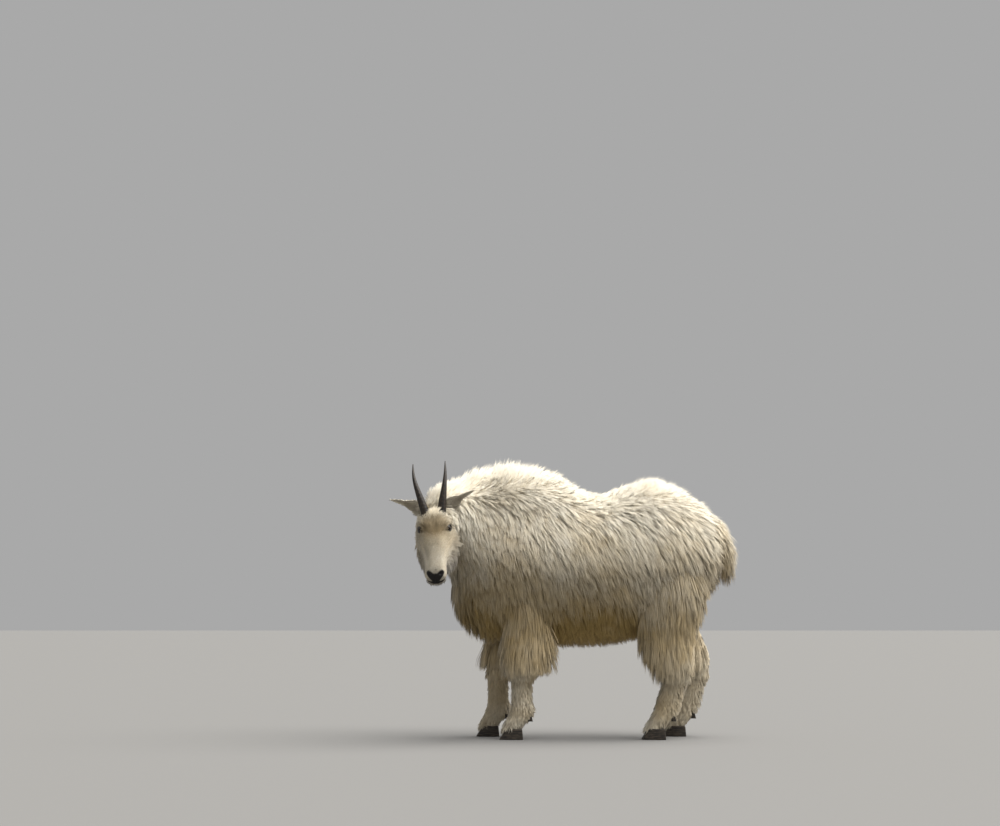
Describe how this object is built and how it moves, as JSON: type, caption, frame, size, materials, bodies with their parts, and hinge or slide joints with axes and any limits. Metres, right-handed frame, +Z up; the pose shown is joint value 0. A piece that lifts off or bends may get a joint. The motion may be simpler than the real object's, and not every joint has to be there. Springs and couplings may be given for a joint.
{
  "type": "mountain goat",
  "caption": "Life-size still model of a standing mountain goat in a long shaggy coat, head turned to its left, with short curved horns and cloven hooves.",
  "frame": {"origin": "on the ground, under the middle of the goat's overall box", "axes": "+X towards the tail, -X the way the body faces, -Y the goat's left side, +Z up"},
  "size_m": [1.3332, 0.6024, 1.0348],
  "materials": {
    "coat": "long shaggy creamy white hair",
    "face": "short dense pale hair",
    "horn": "black horn, ringed at the base and smooth at the tip",
    "hoof": "dark worn hoof horn",
    "eye": "wet dark brown eye"
  },
  "bodies": {
    "root": {"foreleg_left_lower": "coat", "foreleg_left_claw_outer": "hoof", "foreleg_left_claw_inner": "hoof", "foreleg_left_dewclaw_outer": "hoof", "foreleg_left_dewclaw_inner": "hoof", "foreleg_right_lower": "coat", "foreleg_right_claw_inner": "hoof", "foreleg_right_claw_outer": "hoof", "foreleg_right_dewclaw_inner": "hoof", "foreleg_right_dewclaw_outer": "hoof", "hindleg_left_lower": "coat", "hindleg_left_claw_outer": "hoof", "hindleg_left_claw_inner": "hoof", "hindleg_left_dewclaw_outer": "hoof", "hindleg_left_dewclaw_inner": "hoof", "hindleg_right_lower": "coat", "hindleg_right_claw_inner": "hoof", "hindleg_right_claw_outer": "hoof", "hindleg_right_dewclaw_inner": "hoof", "hindleg_right_dewclaw_outer": "hoof", "eye_right": "eye", "eye_left": "eye", "horn_right": "horn", "ear_right": "face", "horn_left": "horn", "ear_left": "face", "head": "face", "neck": "coat", "chest": "coat", "barrel": "coat", "rump": "coat", "tail": "coat", "foreleg_left_upper": "coat", "foreleg_right_upper": "coat", "hindleg_left_upper": "coat", "hindleg_right_upper": "coat"}
  },
  "joints": []
}
